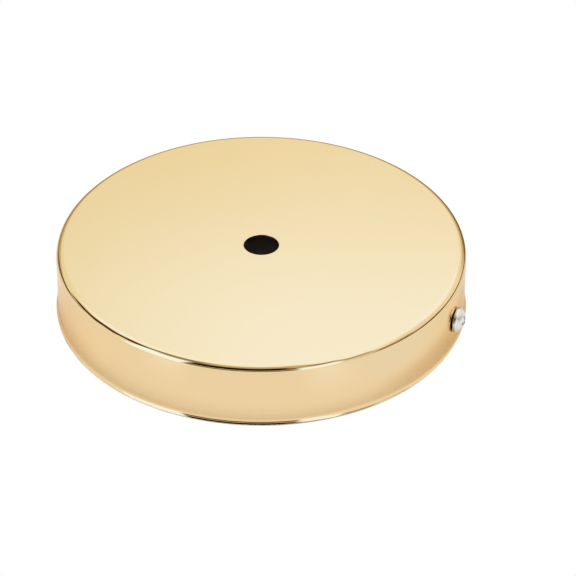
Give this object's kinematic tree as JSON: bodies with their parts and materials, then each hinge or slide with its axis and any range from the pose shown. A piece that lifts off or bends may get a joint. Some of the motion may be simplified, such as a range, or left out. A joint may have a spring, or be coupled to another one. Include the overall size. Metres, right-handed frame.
{
  "type": "light fixture ceiling canopy",
  "caption": "Round gold-coloured metal ceiling canopy with a centre hole for a cord or tube, held on a slotted strap bracket by screws through its wall.",
  "frame": {"origin": "centre of the rim's plane, which lies on the ceiling in use and on the floor as stored", "axes": "+Z out of the face, away from the ceiling; +X along the strap bracket, through the side screws"},
  "size_m": [0.1258, 0.1212, 0.02],
  "materials": {
    "gold_plate": "steel sheet, gold-coloured plating, mirror polished",
    "zinc_strap": "zinc plated, satin, with rolling lines",
    "nickel_screw": "nickel plated, bright",
    "zinc_washer": "zinc plated, satin"
  },
  "bodies": {
    "root": {"canopy": "gold_plate", "bracket": "zinc_strap", "side_screw_right": "nickel_screw", "side_screw_left": "nickel_screw", "earth_screw": "nickel_screw", "toothed_washer": "zinc_washer", "clamp_washer": "zinc_washer"}
  },
  "joints": []
}
